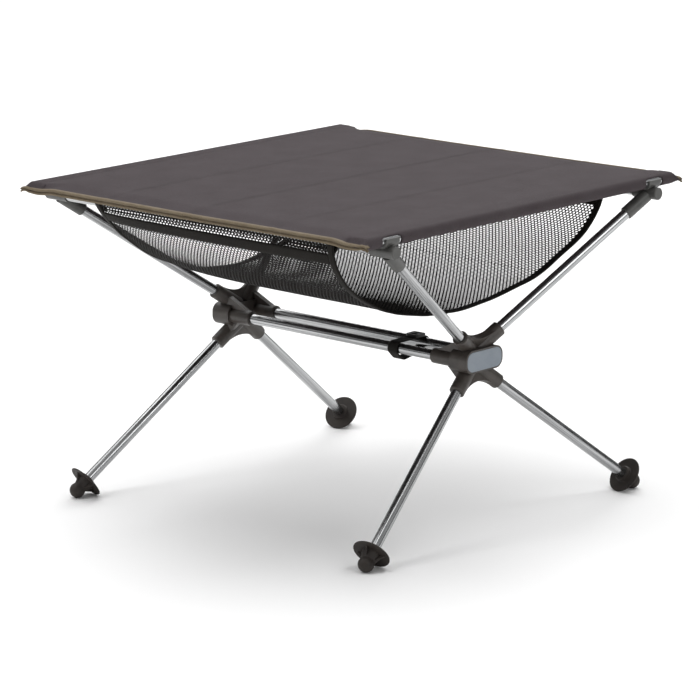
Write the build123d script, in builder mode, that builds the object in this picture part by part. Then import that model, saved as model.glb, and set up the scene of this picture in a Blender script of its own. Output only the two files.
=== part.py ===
from build123d import *
import os

os.makedirs("parts", exist_ok=True)

# Low folding camp table: a fabric top on two side poles, a mesh shelf under it,
# and a tube frame of two moulded hubs, two crossbars, four arms and four legs.
# X runs along the crossbars, Y along the side poles, +Z is up, and the origin
# is on the floor under the middle of the top. Millimetres.

# --- tubes and fits ---
tube_d = 13.0
tube_wall = 1.0
socket_fit = 0.05         # radial play of a tube in its socket
end_gap = 0.3             # gap between a tube's end and its socket's floor
socket_depth = 30.0
mouth_chamfer = 0.9

# --- hubs ---
hub_x = 196.0             # hub centre from the middle of the table
hub_z = 204.5             # height of the crossbars
crossbar_y = 21.5         # each crossbar from the table's middle plane
arm_rise = 6.0            # the arm axes meet this far above the crossbars
leg_drop = 7.0            # the leg axes meet this far below the crossbars
socket_wall = 3.0
arm_socket_reach = 46.0   # socket mouth from the point where the axes meet
leg_socket_reach = 48.0
bar_socket_reach = 41.5
socket_root = 6.0         # sockets start this far from the point where the axes meet
web_thick = 9.0
web_inset = 2.0           # the web ends this far inside the socket mouths
web_dip = 23.0            # bottom of the web's hollow, from where the axes meet
gusset_thick = 7.0
gusset_back = 6.0         # gussets stop this far behind the socket mouths
boss_length = 66.0        # outer boss, along Y
boss_height = 28.0
boss_corner = 12.0
boss_reach = 19.8         # outer face of the boss from the hub centre
boss_root = 8.0           # the boss starts this far inboard of the hub centre
badge_rim = 2.0
badge_thick = 1.6
badge_proud = 0.5

# --- top frame ---
side_pole_x = 278.0
side_pole_z = 395.0
cross_pole_y = 236.5
pole_bite = 0.7           # how far the side pole sinks into the barrel's top
barrel_wall = 1.2
barrel_proud = 14.0       # barrel end beyond the side pole axis
barrel_length = 37.0
barrel_stop = 2.4         # solid between the cross pole's bore and the saddle
ferrule_wall = 1.8
ferrule_length = 36.0
arm_end_in_x = 3.0        # the arm axis ends this far inside the crossing of the poles
arm_end_in_y = 3.5
arm_end_drop = 3.0        # and this far below the cross pole axis
arm_entry = 30.0          # how far an arm enters its ferrule
saddle_wall = 1.9
saddle_length = 22.0
saddle_rise = 3.0         # saddle lips above the pole axis
saddle_fit = 0.1

# --- feet ---
foot_ball_x = 246.7
foot_ball_y = 244.5
ball_wall = 3.3
foot_disc_r = 23.2
foot_disc_thick = 2.0
foot_disc_clear = 0.3     # gap between the tilted disc and the floor
collar_wall = 3.8
foot_collar_height = 4.2
neck_wall = 2.1
flare_wall = 5.5
foot_entry = 8.0          # how far the leg enters the foot below the disc
rib_count = 4
rib_thick = 2.4
rib_reach = 18.5
rib_drop = 8.5

# --- soft goods ---
cloth_thick = 0.8
cloth_slack = 0.1         # radial play of the sleeve on its pole
cloth_lap = 1.0           # the panel stops this far short of the pole's crown
top_half_y = 283.0
pole_setback = 11.0       # the side poles stop this far short of the cloth's ends
binding_thick = 1.4
binding_height = 8.0
window_gap = 5.0          # sleeve window beyond each end of the saddle
window_clear = 2.5        # sleeve window above the saddle lips
window_side = 8.5         # sleeve window beyond each side of the saddle
basket_thick = 1.6
basket_slack = 0.3
hem_bite = 0.4            # the net runs this far inside the hem
basket_half_x = 200.0
basket_drop = 112.0       # lowest point of the shelf below the cross poles
basket_tape_width = 12.0
basket_tape_extra = 0.6

# --- cords, plugs and caps ---
cord_r = 1.6
knot_r = 3.6
plug_length = 9.0
plug_flange = 1.0
plug_play = 0.1
cap_thick = 2.5
cap_shank = 8.0

# --- keeper strap ---
strap_x = 92.5
strap_width = 15.0
strap_thick = 1.8
strap_clear = 0.4
strap_droop = 6.5         # slack hanging under the front crossbar
buckle_length = 17.0      # along the strap
buckle_width = 19.0
buckle_thick = 3.6
buckle_bar = 2.6

# --- derived sizes and places ---
sides = {"left": -1, "right": 1}
ends = {"front": -1, "back": 1}
corners = {f"{end}_{side}": (sides[side], ends[end]) for end in ends for side in sides}
tube_r = tube_d / 2
tube_in_r = tube_r - tube_wall
bore_r = tube_r + socket_fit
socket_r = tube_r + socket_wall
barrel_r = tube_r + barrel_wall
ferrule_r = tube_r + ferrule_wall
saddle_in_r = tube_r + saddle_fit
saddle_out_r = saddle_in_r + saddle_wall
side_pole_half = top_half_y - pole_setback
cross_pole_z = side_pole_z - tube_r - barrel_r + pole_bite
barrel_start_x = side_pole_x + barrel_proud - barrel_length
cross_pole_stop_x = side_pole_x - saddle_in_r - barrel_stop
cross_pole_half = cross_pole_stop_x - end_gap
foot_ball_r = tube_r + ball_wall
foot_collar_r = tube_r + collar_wall
foot_neck_r = tube_r + neck_wall
foot_flare_r = tube_r + flare_wall
window_rise = saddle_rise + window_clear
sleeve_in_r = tube_r + cloth_slack
sleeve_out_r = sleeve_in_r + cloth_thick
top_z = side_pole_z + sleeve_out_r
hem_in_r = tube_r + basket_slack
hem_out_r = hem_in_r + basket_thick
arm_root = Vector(hub_x, 0, hub_z + arm_rise)
leg_root = Vector(hub_x, 0, hub_z - leg_drop)
arm_tip = Vector(
    side_pole_x - arm_end_in_x, cross_pole_y - arm_end_in_y, cross_pole_z - arm_end_drop
)
arm_vector = arm_tip - arm_root
leg_vector = Vector(foot_ball_x, foot_ball_y, foot_ball_r) - leg_root
leg_lean = (leg_vector.X**2 + leg_vector.Y**2) ** 0.5 / leg_vector.length
leg_steep = -leg_vector.Z / leg_vector.length
rim_r = foot_disc_thick / 2
disc_reach_down = (foot_disc_r - rim_r) * leg_lean + rim_r
foot_disc_up = (disc_reach_down + foot_disc_clear - foot_ball_r) / leg_steep
disc_at = leg_vector.length - foot_disc_up
foot_top_at = disc_at - rim_r - foot_collar_height
leg_start = leg_socket_reach - socket_depth + end_gap
leg_end = disc_at + foot_entry - end_gap
arm_start = arm_socket_reach - socket_depth + end_gap
ferrule_mouth_at = arm_vector.length - ferrule_length
arm_end = ferrule_mouth_at + arm_entry - end_gap
crossbar_half = hub_x - bar_socket_reach + socket_depth - end_gap
knot_seat = plug_flange + plug_length + (knot_r**2 - (cord_r + plug_play) ** 2) ** 0.5


def flip(v, sx, sy):
    """A vector of the back right corner, moved to another corner."""
    return Vector(v.X * sx, v.Y * sy, v.Z)


def axis_plane(root, direction, sx, sy, distance):
    """A plane square to an arm or a leg, at a distance along its axis."""
    unit = flip(direction, sx, sy).normalized()
    return Plane(origin=flip(root, sx, sy) + unit * distance, x_dir=(sx, 0, 0), z_dir=unit)


def save(piece, name):
    """Label a finished piece and write it."""
    piece.part.label = name
    export_step(piece.part, f"parts/{name}.step")


def add_socket(mouth, length):
    """The outside of a round socket, behind its mouth plane, with a chamfered mouth."""
    with BuildSketch(mouth.offset(-length)) as round_body:
        Circle(socket_r)
    extrude(round_body.sketch, amount=length - mouth_chamfer)
    with BuildSketch(mouth.offset(-mouth_chamfer)) as lip:
        Circle(socket_r)
    extrude(lip.sketch, amount=mouth_chamfer, taper=45)


def cut_bore(mouth, depth):
    """A blind bore for a tube, from its mouth plane inwards."""
    with BuildSketch(mouth) as opening:
        Circle(bore_r)
    extrude(opening.sketch, amount=-depth, mode=Mode.SUBTRACT)


def bar_plane(sx, sy, distance):
    """A plane square to a crossbar, facing inboard, at a distance from the hub."""
    return Plane(origin=(sx * (hub_x - distance), sy * crossbar_y, hub_z), z_dir=(-sx, 0, 0))


def build_hub(sx):
    """One moulded hub: six blind sockets, webs, gussets and the outer boss."""
    boss_plane = Plane(origin=(sx * hub_x, 0, hub_z), x_dir=(0, 1, 0), z_dir=(sx, 0, 0))
    limbs = ((arm_root, arm_vector, arm_socket_reach), (leg_root, leg_vector, leg_socket_reach))
    with BuildPart() as hub:
        # the outer boss, which is also the hub's core
        with BuildSketch(boss_plane.offset(-boss_root)):
            RectangleRounded(boss_length, boss_height, boss_corner)
        extrude(amount=boss_root + boss_reach)
        for root, direction, reach in limbs:
            # curved web between the two sockets of a pair
            unit = flip(direction, sx, 1).normalized()
            rise = Vector(unit.X, 0, unit.Z)
            along_y = unit.Y * (reach - web_inset)
            along_z = rise.length * (reach - web_inset)
            edge_y = along_y - rise.length * (socket_r - web_inset / 2)
            edge_z = along_z + unit.Y * (socket_r - web_inset / 2)
            normal = Vector(0, 1, 0).cross(rise)
            with BuildSketch(Plane(origin=flip(root, sx, 1), x_dir=(0, 1, 0), z_dir=normal)):
                with BuildLine():
                    Polyline((0, 0), (along_y, along_z), (edge_y, edge_z))
                    ThreePointArc((edge_y, edge_z), (0, web_dip), (-edge_y, edge_z))
                    Polyline((-edge_y, edge_z), (-along_y, along_z), (0, 0))
                make_face()
            extrude(amount=web_thick / 2, both=True)
            for sy in ends.values():
                add_socket(axis_plane(root, direction, sx, sy, reach), reach - socket_root)
        for sy in ends.values():
            add_socket(bar_plane(sx, sy, bar_socket_reach), bar_socket_reach)
            # gussets from the crossbar socket up to the arm's and down to the leg's
            bar_at = bar_socket_reach - gusset_back
            arm_unit = arm_vector.normalized()
            arm_at = crossbar_y / arm_unit.Y + 1.5 * socket_r
            leg_unit = leg_vector.normalized()
            leg_at = crossbar_y / leg_unit.Y + socket_r / 4
            gusset = Plane(
                origin=(sx * hub_x, sy * crossbar_y, hub_z), x_dir=(sx, 0, 0), z_dir=(0, -sx, 0)
            )
            with BuildSketch(gusset):
                Polygon(
                    (0, 0), (arm_unit.X * arm_at, arm_rise + arm_unit.Z * arm_at),
                    (-bar_at, socket_r - 1), align=None,
                )
                Polygon(
                    (0, 0), (-bar_at / 2, 1 - socket_r),
                    (0, leg_unit.Z * leg_at - leg_drop), align=None,
                )
            extrude(amount=gusset_thick / 2, both=True)
        # blind bores for the tubes
        for sy in ends.values():
            cut_bore(bar_plane(sx, sy, bar_socket_reach), socket_depth)
            for root, direction, reach in limbs:
                cut_bore(axis_plane(root, direction, sx, sy, reach), socket_depth)
        # shallow seat for the badge
        with BuildSketch(boss_plane.offset(boss_reach)):
            RectangleRounded(
                boss_length - 2 * badge_rim, boss_height - 2 * badge_rim, boss_corner - badge_rim
            )
        extrude(amount=badge_proud - badge_thick, mode=Mode.SUBTRACT)
    return hub


def build_badge(sx):
    """The plain plate in the outer face of a hub."""
    face = Plane(origin=(sx * hub_x, 0, hub_z), x_dir=(0, 1, 0), z_dir=(sx, 0, 0))
    with BuildPart() as badge:
        with BuildSketch(face.offset(boss_reach + badge_proud - badge_thick)):
            RectangleRounded(
                boss_length - 2 * badge_rim - 2 * socket_fit,
                boss_height - 2 * badge_rim - 2 * socket_fit,
                boss_corner - badge_rim - socket_fit,
            )
        extrude(amount=badge_thick)
        chamfer(badge.faces().sort_by(Axis.X)[-1 if sx > 0 else 0].edges(), badge_proud * 0.8)
    return badge


def build_tube(plane, length):
    """A round tube that starts on a plane."""
    with BuildPart() as pipe:
        with BuildSketch(plane):
            Circle(tube_r)
            Circle(tube_in_r, mode=Mode.SUBTRACT)
        extrude(amount=length)
    return pipe


def add_plug(plane):
    """A flanged plug in a tube's end; the plane is the flange's outer face."""
    with BuildSketch(plane) as flange:
        Circle(tube_r - plug_play)
        Circle(cord_r + plug_play, mode=Mode.SUBTRACT)
    extrude(flange.sketch, amount=plug_flange)
    with BuildSketch(plane.offset(plug_flange)) as shank:
        Circle(tube_in_r - plug_play)
        Circle(cord_r + plug_play, mode=Mode.SUBTRACT)
    extrude(shank.sketch, amount=plug_length)


def add_cord(plane, knot_at, length):
    """An elastic cord from a plane along its normal, with a knot near each end."""
    with BuildSketch(plane) as cord:
        Circle(cord_r)
    extrude(cord.sketch, amount=length)
    with Locations(plane.offset(knot_at), plane.offset(length)):
        Sphere(knot_r)


def build_corner(sx, sy):
    """Corner clip: barrel for the cross pole, ferrule for the arm, saddle for the side pole."""
    barrel = Plane(
        origin=(sx * barrel_start_x, sy * cross_pole_y, cross_pole_z),
        z_dir=(sx, 0, 0),
    )
    saddle = Plane(
        origin=(sx * side_pole_x, sy * cross_pole_y, side_pole_z), x_dir=(1, 0, 0), z_dir=(0, -1, 0)
    )
    with BuildPart() as corner:
        with BuildSketch(barrel):
            Circle(barrel_r)
        extrude(amount=barrel_length - mouth_chamfer)
        with BuildSketch(barrel.offset(barrel_length - mouth_chamfer)):
            Circle(barrel_r)
        extrude(amount=mouth_chamfer, taper=45)
        with BuildSketch(axis_plane(arm_root, arm_vector, sx, sy, ferrule_mouth_at + mouth_chamfer)):
            Circle(ferrule_r)
        extrude(amount=ferrule_length - mouth_chamfer)
        extrude(faces().sort_by(Axis.Z)[0], amount=mouth_chamfer, taper=45)
        with BuildSketch(saddle):
            Circle(saddle_out_r)
            Rectangle(
                2 * saddle_out_r, saddle_out_r, align=(Align.CENTER, Align.MIN), mode=Mode.SUBTRACT
            )
            Rectangle(2 * saddle_out_r, saddle_rise, align=(Align.CENTER, Align.MIN))
        extrude(amount=saddle_length / 2, both=True)
        # room for the side pole, open upwards
        with BuildSketch(saddle):
            Circle(saddle_in_r)
            Rectangle(2 * saddle_in_r, saddle_out_r, align=(Align.CENTER, Align.MIN))
        extrude(amount=saddle_length, both=True, mode=Mode.SUBTRACT)
        # blind bores for the cross pole and the arm
        cut_bore(barrel, barrel_start_x - cross_pole_stop_x)
        cut_bore(axis_plane(arm_root, arm_vector, sx, sy, ferrule_mouth_at), -arm_entry)
    return corner


def build_foot(sx, sy):
    """Rubber foot: ball tip, ribbed neck, mud disc and a collar round the leg."""
    unit = flip(leg_vector, sx, sy).normalized()
    ball = flip(leg_root + leg_vector, sx, sy)
    side = Vector(0, 0, 1).cross(unit).normalized()
    half = Plane(origin=ball, x_dir=side, z_dir=side.cross(unit))
    low = -foot_disc_up + rim_r
    high = -foot_disc_up - rim_r
    edge = foot_disc_r - rim_r
    diagonal = foot_ball_r / 2**0.5
    with BuildPart() as foot:
        with BuildSketch(half):
            with BuildLine():
                ThreePointArc((0, foot_ball_r), (diagonal, diagonal), (foot_ball_r, 0))
                Line((foot_ball_r, 0), (foot_neck_r, -foot_disc_up / 3))
                Line((foot_neck_r, -foot_disc_up / 3), (foot_flare_r, low))
                Line((foot_flare_r, low), (edge, low))
                ThreePointArc((edge, low), (foot_disc_r, -foot_disc_up), (edge, high))
                Polyline(
                    (edge, high),
                    (foot_collar_r + mouth_chamfer, high),
                    (foot_collar_r, high - mouth_chamfer),
                    (foot_collar_r, high - foot_collar_height + mouth_chamfer),
                    (foot_collar_r - mouth_chamfer, high - foot_collar_height),
                    (0, high - foot_collar_height),
                    (0, foot_ball_r),
                )
            make_face()
        revolve(axis=Axis(ball, unit))
        for k in range(rib_count):
            spoke = side.rotate(Axis((0, 0, 0), unit), k * 360 / rib_count)
            with BuildSketch(Plane(origin=ball, x_dir=spoke, z_dir=spoke.cross(unit))):
                with BuildLine():
                    Polyline((0, low), (rib_reach, low), (foot_neck_r, low + rib_drop), (0, 0), (0, low))
                make_face()
            extrude(amount=rib_thick / 2, both=True)
        cut_bore(
            axis_plane(leg_root, leg_vector, sx, sy, foot_top_at), foot_top_at - disc_at - foot_entry
        )
    return foot


def add_trough(x_start, length, grow):
    """A stretch of the hanging shelf, half an ellipse with a hem round each cross pole."""
    reach = cross_pole_y + hem_out_r - hem_bite
    with BuildSketch(Plane.YZ.offset(x_start)) as section:
        with Locations((0, cross_pole_z)):
            Ellipse(reach + grow, basket_drop + grow)
            Ellipse(
                reach - basket_thick - grow, basket_drop - basket_thick - grow, mode=Mode.SUBTRACT
            )
            Rectangle(3 * reach, 2 * basket_drop, align=(Align.CENTER, Align.MIN), mode=Mode.SUBTRACT)
        with Locations((-cross_pole_y, cross_pole_z), (cross_pole_y, cross_pole_z)):
            Circle(hem_out_r + grow)
            Circle(hem_in_r, mode=Mode.SUBTRACT)
    extrude(section.sketch, amount=length)


# --- hubs and crossbars ---
for side, sx in sides.items():
    save(build_hub(sx), f"hub_{side}")
    save(build_badge(sx), f"badge_{side}")

for end, sy in ends.items():
    bar_start = Plane(origin=(-crossbar_half, sy * crossbar_y, hub_z), z_dir=(1, 0, 0))
    save(build_tube(bar_start, 2 * crossbar_half), f"crossbar_{end}")

# --- arms and corner clips ---
for name, (sx, sy) in corners.items():
    arm_plane = axis_plane(arm_root, arm_vector, sx, sy, arm_start + plug_flange)
    save(build_tube(arm_plane, arm_end - arm_start - plug_flange), f"arm_{name}")
    save(build_corner(sx, sy), f"corner_clip_{name}")

with BuildPart() as arm_plugs:
    for sx, sy in corners.values():
        add_plug(axis_plane(arm_root, arm_vector, sx, sy, arm_start))
save(arm_plugs, "arm_plugs")

with BuildPart() as arm_cords:
    for sx, sy in corners.values():
        cord_plane = axis_plane(arm_root, arm_vector, sx, sy, arm_start)
        add_cord(cord_plane, knot_seat, arm_end - arm_start - knot_r)
save(arm_cords, "arm_cords")

# --- legs, each with its plug, its elastic cord and its foot ---
for name, (sx, sy) in corners.items():
    leg_plane = axis_plane(leg_root, leg_vector, sx, sy, leg_start + plug_flange)
    save(build_tube(leg_plane, leg_end - leg_start - plug_flange), f"leg_{name}")
    with BuildPart() as leg_plug:
        add_plug(axis_plane(leg_root, leg_vector, sx, sy, leg_start))
    save(leg_plug, f"leg_plug_{name}")
    with BuildPart() as leg_cord:
        cord_plane = axis_plane(leg_root, leg_vector, sx, sy, leg_start)
        add_cord(cord_plane, knot_seat, leg_end - leg_start - knot_r)
    save(leg_cord, f"leg_cord_{name}")
    save(build_foot(sx, sy), f"foot_{name}")

# --- cross poles and the mesh shelf that hangs on them ---
for end, sy in ends.items():
    pole_start = Plane(origin=(-cross_pole_half, sy * cross_pole_y, cross_pole_z), z_dir=(1, 0, 0))
    save(build_tube(pole_start, 2 * cross_pole_half), f"cross_pole_{end}")

net_half = basket_half_x - basket_tape_width
with BuildPart() as mesh_basket:
    add_trough(-net_half, 2 * net_half, 0)
save(mesh_basket, "mesh_basket")

for side, sx in sides.items():
    with BuildPart() as basket_tape:
        add_trough(min(sx * net_half, sx * basket_half_x), basket_tape_width, basket_tape_extra)
    save(basket_tape, f"basket_tape_{side}")

# --- side poles and the fabric top on them ---
for side, sx in sides.items():
    pole_start = Plane(
        origin=(sx * side_pole_x, -side_pole_half, side_pole_z), x_dir=(1, 0, 0), z_dir=(0, 1, 0)
    )
    save(build_tube(pole_start, 2 * side_pole_half), f"side_pole_{side}")

with BuildPart() as pole_caps:
    for sx, sy in corners.values():
        cap = Plane(
            origin=(sx * side_pole_x, sy * side_pole_half, side_pole_z),
            x_dir=(1, 0, 0),
            z_dir=(0, sy, 0),
        )
        with BuildSketch(cap):
            Circle(tube_r)
        extrude(amount=cap_thick)
        with BuildSketch(cap):
            Circle(tube_in_r - plug_play)
        extrude(amount=-cap_shank)
save(pole_caps, "pole_caps")

with BuildPart() as fabric_top:
    with BuildSketch(Plane.XY.offset(top_z - cloth_thick)):
        Rectangle(2 * (side_pole_x - cloth_lap), 2 * top_half_y)
    extrude(amount=cloth_thick)
    with BuildSketch(Plane.XZ):
        with Locations((-side_pole_x, side_pole_z), (side_pole_x, side_pole_z)):
            Circle(sleeve_out_r)
            Circle(sleeve_in_r, mode=Mode.SUBTRACT)
    extrude(amount=top_half_y, both=True)
    # windows that leave room for the corner clips
    window_top = side_pole_z + window_rise
    with BuildSketch(Plane.XY.offset(window_top)):
        with GridLocations(2 * side_pole_x, 2 * cross_pole_y, 2, 2):
            Rectangle(2 * (saddle_out_r + window_side), saddle_length + 2 * window_gap)
    extrude(amount=-(window_rise + 2 * sleeve_out_r), mode=Mode.SUBTRACT)
save(fabric_top, "fabric_top")

for end, sy in ends.items():
    with BuildPart() as binding:
        with BuildSketch(Plane.XY.offset(top_z - binding_height)):
            with Locations((0, sy * (top_half_y + binding_thick / 2))):
                Rectangle(2 * (side_pole_x + tube_r), binding_thick)
        extrude(amount=binding_height)
    save(binding, f"binding_{end}")

# --- keeper strap round both crossbars ---
strap_in_r = tube_r + strap_clear
strap_out_r = strap_in_r + strap_thick
strap_start = Plane.YZ.offset(strap_x - strap_width / 2)
strap_rounds = (
    (-crossbar_y, hub_z),
    (crossbar_y, hub_z),
    (-crossbar_y + strap_droop, hub_z - strap_droop),
)
with BuildPart() as strap_band:
    with BuildSketch(strap_start):
        with Locations(*strap_rounds):
            Circle(strap_out_r)
        make_hull()
    extrude(amount=strap_width)
    with BuildSketch(strap_start):
        with Locations(*strap_rounds):
            Circle(strap_in_r)
        make_hull()
    extrude(amount=strap_width, mode=Mode.SUBTRACT)
save(strap_band, "strap_band")

with BuildPart() as strap_buckle:
    buckle_plane = Plane.XY.offset(hub_z + strap_out_r)
    with BuildSketch(buckle_plane):
        with Locations((strap_x, crossbar_y - buckle_length / 2)):
            RectangleRounded(buckle_width, buckle_length, buckle_bar)
        with Locations((strap_x, crossbar_y - buckle_length / 2)):
            with GridLocations(0, (buckle_length - buckle_bar) / 2, 1, 2):
                Rectangle(
                    buckle_width - 2 * buckle_bar,
                    (buckle_length - 3 * buckle_bar) / 2,
                    mode=Mode.SUBTRACT,
                )
    extrude(amount=buckle_thick)
    chamfer(strap_buckle.faces().sort_by(Axis.Z)[-1].edges(), 0.6)
save(strap_buckle, "strap_buckle")
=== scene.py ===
"""The looks of a low folding camp table: cloth top, net shelf, strap and finishes.

Lengths are in metres, in the table's own frame: X along the crossbars, Y along the
side poles and Z up, with the floor at zero under the middle of the top.
"""
import logging
import math
from collections.abc import Callable
from dataclasses import dataclass
from enum import Enum

import bmesh
import bpy
import numpy as np
from mathutils import Matrix, Vector, noise


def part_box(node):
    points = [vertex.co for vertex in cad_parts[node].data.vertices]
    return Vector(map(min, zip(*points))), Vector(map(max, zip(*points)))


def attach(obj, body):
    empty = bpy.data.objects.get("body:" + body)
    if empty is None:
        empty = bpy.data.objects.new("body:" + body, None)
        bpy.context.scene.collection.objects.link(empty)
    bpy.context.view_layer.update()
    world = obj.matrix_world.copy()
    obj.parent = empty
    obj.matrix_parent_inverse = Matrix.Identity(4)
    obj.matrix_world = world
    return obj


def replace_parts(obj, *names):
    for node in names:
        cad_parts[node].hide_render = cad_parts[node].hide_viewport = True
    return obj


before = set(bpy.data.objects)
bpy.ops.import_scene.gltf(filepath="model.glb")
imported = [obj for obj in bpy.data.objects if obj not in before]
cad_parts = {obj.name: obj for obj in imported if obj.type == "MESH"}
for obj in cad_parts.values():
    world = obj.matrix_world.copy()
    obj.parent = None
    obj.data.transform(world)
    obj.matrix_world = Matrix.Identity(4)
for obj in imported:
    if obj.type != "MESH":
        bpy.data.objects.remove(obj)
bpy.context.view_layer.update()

MM = 0.001
Point = tuple[float, float, float]
Colour = tuple[float, float, float]
log = logging.getLogger("camp_table")


class Side(Enum):
    """The two ends of an axis of the table."""

    LOW = -1
    HIGH = 1


class Corner(Enum):
    """The four corners, as the frame's nodes spell them."""

    FRONT_LEFT = "front_left"
    FRONT_RIGHT = "front_right"
    BACK_LEFT = "back_left"
    BACK_RIGHT = "back_right"


# ---------------------------------------------------------------- finishes


WAVE_TURN = 20.0  # how many radians a wave texture turns through in each unit


class Recipe:
    """One material's node tree, with short ways to add nodes and join them."""

    def __init__(self, name: str) -> None:
        """Start a material with one principled shader.

        Args:
            name: The material's name.
        """
        self.material = bpy.data.materials.new(name)
        self.material.use_nodes = True
        self.tree = self.material.node_tree
        self.shader = self.tree.nodes["Principled BSDF"]

    def node(self, kind: str, inputs: dict | None = None, **settings: object) -> bpy.types.Node:
        """Add a node and fill in its sockets.

        Args:
            kind: The node's type, without its ShaderNode prefix.
            inputs: Socket name or index to a value, or to the socket that feeds it.
            **settings: The node's own properties.

        Returns:
            The new node.
        """
        made = self.tree.nodes.new("ShaderNode" + kind)
        for key, value in settings.items():
            setattr(made, key, value)
        for key, value in (inputs or {}).items():
            self.feed(made.inputs[key], value)
        return made

    def feed(self, socket: bpy.types.NodeSocket, value: object) -> None:
        """Join a socket to another one, or set its value."""
        if isinstance(value, bpy.types.NodeSocket):
            self.tree.links.new(value, socket)
        else:
            socket.default_value = value

    def set(self, **values: object) -> None:
        """Set the shader's sockets, named with underscores for spaces."""
        for key, value in values.items():
            self.feed(self.shader.inputs[key.replace("_", " ")], value)

    def math(self, operation: str, *values: object) -> bpy.types.NodeSocket:
        """Add a math node and return its result."""
        return self.node("Math", dict(enumerate(values)), operation=operation).outputs[0]

    def mix(self, factor: object, low: Colour, high: Colour) -> bpy.types.NodeSocket:
        """Blend two colours by a factor and return the result."""
        made = self.node("Mix", {0: factor, 6: (*low, 1), 7: (*high, 1)}, data_type="RGBA")
        return made.outputs[2]

    def blend(self, *parts: tuple[object, float]) -> bpy.types.NodeSocket:
        """Add sockets up, each by its weight, and return the sum."""
        total, *others = [self.math("MULTIPLY", value, weight) for value, weight in parts]
        for part in others:
            total = self.math("ADD", total, part)
        return total

    def span(
        self, value: object, low: float, high: float, out_low: float, out_high: float
    ) -> bpy.types.NodeSocket:
        """Remap a value from one range to another and return the result."""
        made = self.node("MapRange", {0: value, 1: low, 2: high, 3: out_low, 4: out_high})
        return made.outputs[0]

    def cloud(self, place: object, size: float, detail: float) -> bpy.types.NodeSocket:
        """Add soft noise with patches of a size in metres and return its factor."""
        inputs = {"Vector": place, "Scale": 1 / size, "Detail": detail}
        return self.node("TexNoise", inputs).outputs[0]

    def bands(self, place: object, period: float, direction: str) -> bpy.types.NodeSocket:
        """Add parallel waves with a period in metres along X or Y and return them."""
        inputs = {"Vector": place, "Scale": 2 * math.pi / (WAVE_TURN * period)}
        return self.node("TexWave", inputs, bands_direction=direction).outputs["Fac"]

    def rough(self, cloud: object, middle: float, less: float, more: float) -> None:
        """Let a cloud move the roughness from a little under its middle to a little over."""
        self.set(Roughness=self.span(cloud, 0.3, 0.7, middle - less, middle + more))

    def relief(self, height: object, depth: float) -> None:
        """Bump the shader's normal by a height field of a depth in metres."""
        inputs = {"Height": height, "Distance": depth, "Strength": 1.0}
        self.set(Normal=self.node("Bump", inputs).outputs[0])

    def place(self, output: str) -> bpy.types.NodeSocket:
        """Return a texture coordinate by its output's name."""
        return self.node("TexCoord").outputs[output]


@dataclass(frozen=True)
class Moulding:
    """Moulded plastic or rubber with a fine grain and faint cloudiness."""

    name: str
    dark: Colour
    light: Colour
    roughness: float
    gloss: float = 0.5
    grain: float = 0.7 * MM
    depth: float = 0.05 * MM
    patch: float = 14 * MM

    def material(self) -> bpy.types.Material:
        """Build the material.

        Returns:
            A material on Object coordinates.
        """
        recipe = Recipe(self.name)
        place = recipe.place("Object")
        cloud = recipe.cloud(place, self.patch, 5)
        tone = recipe.span(cloud, 0.3, 0.7, 0, 1)
        recipe.set(Base_Color=recipe.mix(tone, self.dark, self.light))
        recipe.rough(cloud, self.roughness, 0.05, 0.07)
        recipe.set(Specular_IOR_Level=self.gloss)
        recipe.relief(recipe.cloud(place, self.grain, 2), self.depth)
        return recipe.material


@dataclass(frozen=True)
class DrawnTube:
    """Polished aluminium tube with faint draw lines along its own axis."""

    name: str
    axis: Point
    dark: Colour = (0.30, 0.305, 0.31)
    light: Colour = (0.54, 0.545, 0.55)
    roughness: float = 0.17
    line: float = 1.1 * MM
    squash: float = 0.012
    scuff: float = 9 * MM
    depth: float = 0.012 * MM

    def material(self) -> bpy.types.Material:
        """Build the material.

        Returns:
            A material on Object coordinates, turned so that its lines follow the axis.
        """
        recipe = Recipe(self.name)
        turn = Vector(self.axis).rotation_difference(Vector((0, 0, 1))).to_euler()
        turned = recipe.node(
            "Mapping", {"Vector": recipe.place("Object"), "Rotation": turn}
        ).outputs[0]
        drawn = recipe.node("Mapping", {"Vector": turned, "Scale": (1, 1, self.squash)}).outputs[0]
        lines = recipe.cloud(drawn, self.line, 2)
        scuffs = recipe.cloud(turned, self.scuff, 6)
        tone = recipe.span(lines, 0.35, 0.65, 0, 1)
        recipe.set(Base_Color=recipe.mix(tone, self.dark, self.light), Metallic=1.0)
        recipe.rough(scuffs, self.roughness, 0.04, 0.09)
        recipe.relief(lines, self.depth)
        return recipe.material


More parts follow.
